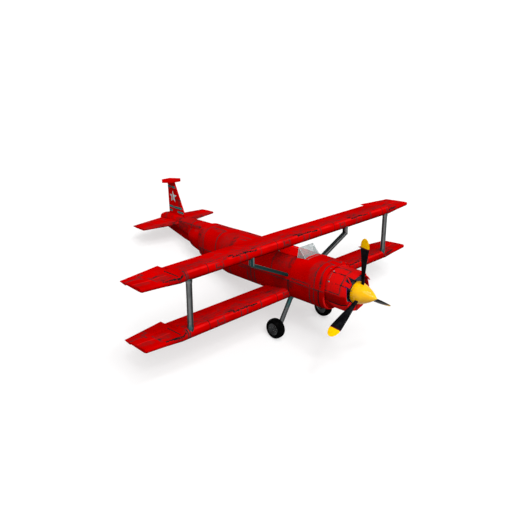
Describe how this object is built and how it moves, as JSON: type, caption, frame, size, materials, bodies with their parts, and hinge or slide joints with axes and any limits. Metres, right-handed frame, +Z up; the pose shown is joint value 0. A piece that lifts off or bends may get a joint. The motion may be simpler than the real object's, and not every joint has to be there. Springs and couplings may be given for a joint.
{
  "type": "single-seat biplane",
  "caption": "Open-cockpit biplane with a round cowled nose, tapered spinner and propeller, struts between its wings, T-capped fin and fixed wheels, standing on its gear.",
  "frame": {"origin": "centre of the bounding box, on the floor that the tyres and the tail skid stand on", "axes": "+X to port, -Y towards the nose, +Z up; the airframe leans back 14.2 degrees onto its tail skid"},
  "size_m": [8.768, 7.2427, 2.9174],
  "materials": {
    "red_paint": "worn gloss red",
    "dark_tube": "dark satin",
    "tyre_rubber": "matt",
    "hub_metal": "dark satin",
    "spinner_yellow": "gloss yellow",
    "blade_black": "black with yellow tips",
    "intake_dark": "dark blue satin",
    "screen_glass": "clear",
    "seat_leather": "worn brown",
    "cabin_grey": "matt grey",
    "engine_metal": "cast"
  },
  "bodies": {
    "airframe": {"fuselage": "red_paint", "tail_boom": "red_paint", "boom_keel": "red_paint", "firewall": "cabin_grey", "seat_bulkhead": "cabin_grey", "cockpit_floor": "cabin_grey", "instrument_panel": "cabin_grey", "seat": "cabin_grey", "seat_post": "cabin_grey", "seat_cushion": "seat_leather", "control_stick": "dark_tube", "windscreen": "screen_glass", "engine_cowl": "red_paint", "intake_ring": "intake_dark", "engine_block": "engine_metal", "upper_wing": "red_paint", "lower_wing_left": "red_paint", "lower_wing_right": "red_paint", "wing_strut_left": "dark_tube", "wing_strut_right": "dark_tube", "cabane_front_left": "dark_tube", "cabane_front_right": "dark_tube", "cabane_rear_left": "dark_tube", "cabane_rear_right": "dark_tube", "gear_leg_left": "dark_tube", "gear_leg_right": "dark_tube", "stabiliser": "red_paint", "tail_fairing": "red_paint", "fin": "red_paint", "fin_cap": "red_paint", "tail_skid": "dark_tube"},
    "propeller": {"propeller_shaft": "engine_metal", "spinner": "spinner_yellow", "blade_1": "blade_black", "blade_2": "blade_black", "blade_3": "blade_black"},
    "left_wheel": {"wheel_left": "hub_metal", "tyre_left": "tyre_rubber"},
    "right_wheel": {"wheel_right": "hub_metal", "tyre_right": "tyre_rubber"},
    "upper_left_aileron": {"upper_aileron_left": "red_paint"},
    "upper_right_aileron": {"upper_aileron_right": "red_paint"},
    "lower_left_aileron": {"lower_aileron_left": "red_paint"},
    "lower_right_aileron": {"lower_aileron_right": "red_paint"},
    "left_elevator": {"elevator_left": "red_paint"},
    "right_elevator": {"elevator_right": "red_paint"},
    "rudder": {"rudder": "red_paint"}
  },
  "joints": [
    {"name": "propeller_turn", "type": "hinge", "parent": "airframe", "child": "propeller", "pos_m": [0, -3.25247, 1.71915], "axis": [0, 0.9694, -0.2453], "continuous": true},
    {"name": "left_wheel_turn", "type": "hinge", "parent": "airframe", "child": "left_wheel", "pos_m": [0.855, -1.87134, 0.235], "axis": [1, 0, 0], "continuous": true},
    {"name": "right_wheel_turn", "type": "hinge", "parent": "airframe", "child": "right_wheel", "pos_m": [-0.855, -1.87134, 0.235], "axis": [1, 0, 0], "continuous": true},
    {"name": "aileron_upper_left", "type": "hinge", "parent": "airframe", "child": "upper_left_aileron", "pos_m": [3.4, -0.89084, 1.9901], "axis": [1, 0, 0], "range_deg": [-20, 20]},
    {"name": "aileron_upper_right", "type": "hinge", "parent": "airframe", "child": "upper_right_aileron", "pos_m": [-3.4, -0.89084, 1.9901], "axis": [1, 0, 0], "range_deg": [-20, 20]},
    {"name": "aileron_lower_left", "type": "hinge", "parent": "airframe", "child": "lower_left_aileron", "pos_m": [3.4, -1.19932, 0.81177], "axis": [1, 0, 0], "range_deg": [-20, 20]},
    {"name": "aileron_lower_right", "type": "hinge", "parent": "airframe", "child": "lower_right_aileron", "pos_m": [-3.4, -1.19932, 0.81177], "axis": [1, 0, 0], "range_deg": [-20, 20]},
    {"name": "elevator_left", "type": "hinge", "parent": "airframe", "child": "left_elevator", "pos_m": [0.19, 3.07953, 0.47794], "axis": [1, 0, 0], "range_deg": [-22, 25]},
    {"name": "elevator_right", "type": "hinge", "parent": "airframe", "child": "right_elevator", "pos_m": [-0.19, 3.07953, 0.47794], "axis": [1, 0, 0], "range_deg": [-22, 25]},
    {"name": "rudder_turn", "type": "hinge", "parent": "airframe", "child": "rudder", "pos_m": [0, 3.05511, 0.67495], "axis": [0, 0.382, 0.9242], "range_deg": [-25, 25]}
  ],
  "couplings": [
    {"joint": "aileron_upper_right", "follows": "aileron_upper_left", "ratio": -1},
    {"joint": "aileron_lower_left", "follows": "aileron_upper_left", "ratio": 1},
    {"joint": "aileron_lower_right", "follows": "aileron_upper_left", "ratio": -1},
    {"joint": "elevator_right", "follows": "elevator_left", "ratio": 1}
  ]
}
